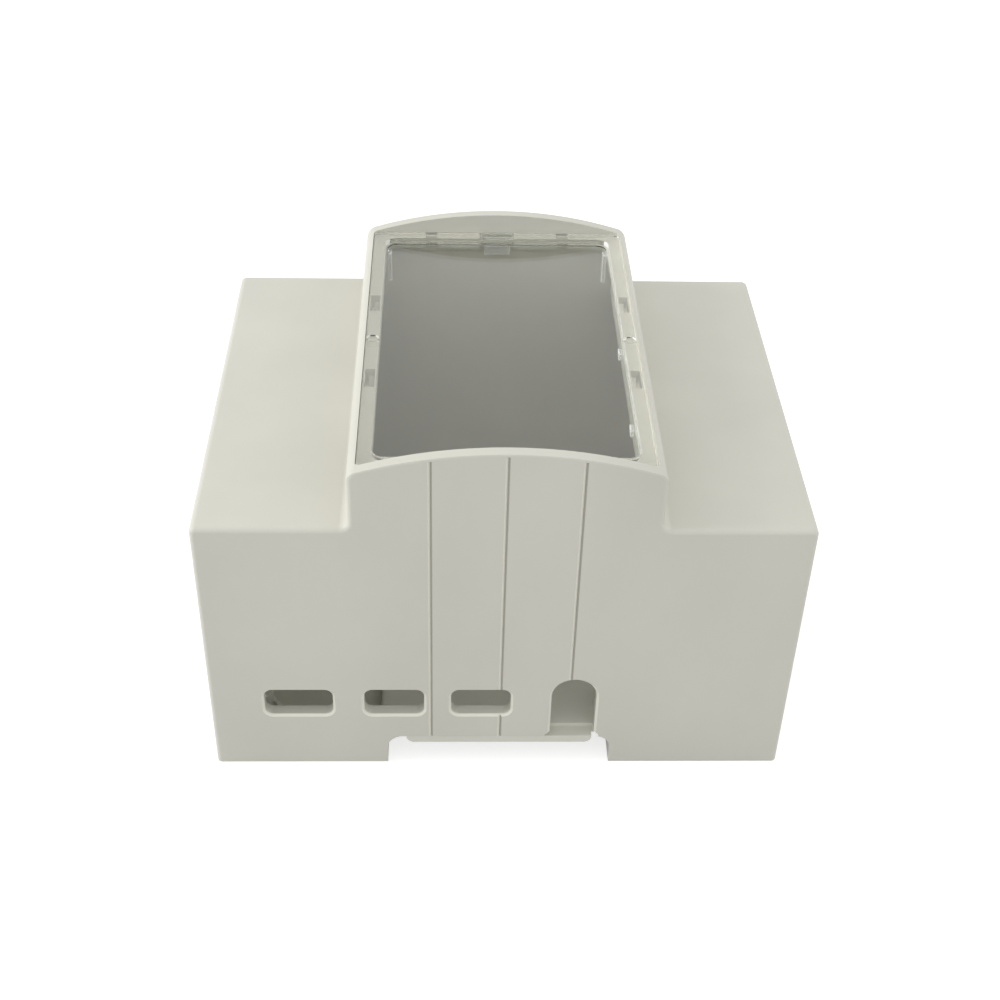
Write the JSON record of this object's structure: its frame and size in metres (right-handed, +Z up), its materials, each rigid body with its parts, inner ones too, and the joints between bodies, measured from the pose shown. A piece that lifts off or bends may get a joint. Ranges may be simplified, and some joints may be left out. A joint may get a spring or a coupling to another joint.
{
  "type": "single-board computer case for rail mounting",
  "caption": "Stepped plastic case for a small computer board, with a clear snap-in window, port slots and a channel with sliding clips for a 35 mm rail.",
  "frame": {"origin": "middle of the case's bottom, in the plane that it stands on", "axes": "+Z up away from the rail, +X across the rail towards the tall sockets, +Y along the rail away from the port slots"},
  "size_m": [0.09, 0.071, 0.0613],
  "materials": {
    "shell_plastic": "light warm grey, fine spark-eroded mould texture",
    "base_plastic": "light warm grey, smooth",
    "clear_plastic": "clear polished polycarbonate",
    "clip_plastic": "light grey acetal, slightly waxy"
  },
  "bodies": {
    "housing": {"housing_shell": "shell_plastic", "base_tray": "base_plastic"},
    "cover": {"window_cover": "clear_plastic"},
    "clip_near": {"rail_clip_near": "clip_plastic"},
    "clip_far": {"rail_clip_far": "clip_plastic"}
  },
  "joints": [
    {"name": "cover_lift", "type": "slide", "parent": "housing", "child": "cover", "axis": [0, 0, 1], "range_m": [0, 0.02]},
    {"name": "clip_near_slide", "type": "slide", "parent": "housing", "child": "clip_near", "axis": [1, 0, 0], "range_m": [0, 0.0045], "stiffness_N_per_m": 800},
    {"name": "clip_far_slide", "type": "slide", "parent": "housing", "child": "clip_far", "axis": [1, 0, 0], "range_m": [0, 0.0045], "stiffness_N_per_m": 800}
  ]
}
